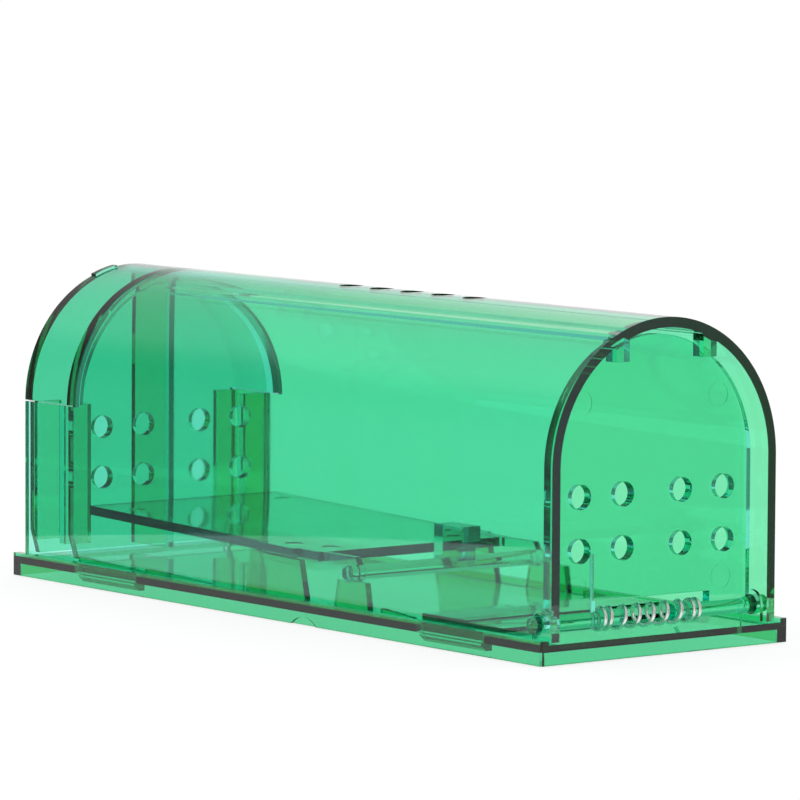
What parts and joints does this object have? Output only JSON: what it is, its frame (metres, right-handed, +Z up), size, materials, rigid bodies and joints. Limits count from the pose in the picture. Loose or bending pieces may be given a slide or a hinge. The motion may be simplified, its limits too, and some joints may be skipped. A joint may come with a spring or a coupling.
{
  "type": "live catch trap",
  "caption": "Humane live catch trap: see-through arched tunnel on a tray, with a sprung drop door, a see-saw treadle latch and a lift-off bait cover.",
  "frame": {"origin": "centre of the tray's footprint, on the surface that the trap stands on", "axes": "+Z up, +X along the tunnel towards the door, +Y across the trap"},
  "size_m": [0.176, 0.0616, 0.0645],
  "materials": {
    "tray_plastic": "clear tinted, polished",
    "shell_plastic": "clear tinted, polished",
    "door_plastic": "clear tinted, polished",
    "pedal_plastic": "clear tinted, polished",
    "cover_plastic": "clear tinted, polished",
    "spring_steel": "bright drawn wire"
  },
  "bodies": {
    "tunnel": {"base_tray": "tray_plastic", "tunnel_shell": "shell_plastic", "door_spring": "spring_steel"},
    "door": {"door": "door_plastic"},
    "pedal": {"pedal": "pedal_plastic"},
    "rear_cover": {"rear_cover": "cover_plastic"}
  },
  "joints": [
    {"name": "door_hinge", "type": "hinge", "parent": "tunnel", "child": "door", "pos_m": [0.0834, 0, 0.0073], "axis": [0, -1, 0], "range_deg": [0, 84.5], "stiffness_Nm_per_rad": 0.012, "springref_deg": -45.84, "deforming": ["door_spring"]},
    {"name": "pedal_pivot", "type": "hinge", "parent": "tunnel", "child": "pedal", "pos_m": [0.022, 0, 0.0108], "axis": [0, 1, 0], "range_deg": [0, 12]},
    {"name": "rear_cover_lift", "type": "slide", "parent": "tunnel", "child": "rear_cover", "axis": [0, 0, 1], "range_m": [0, 0.064]}
  ]
}
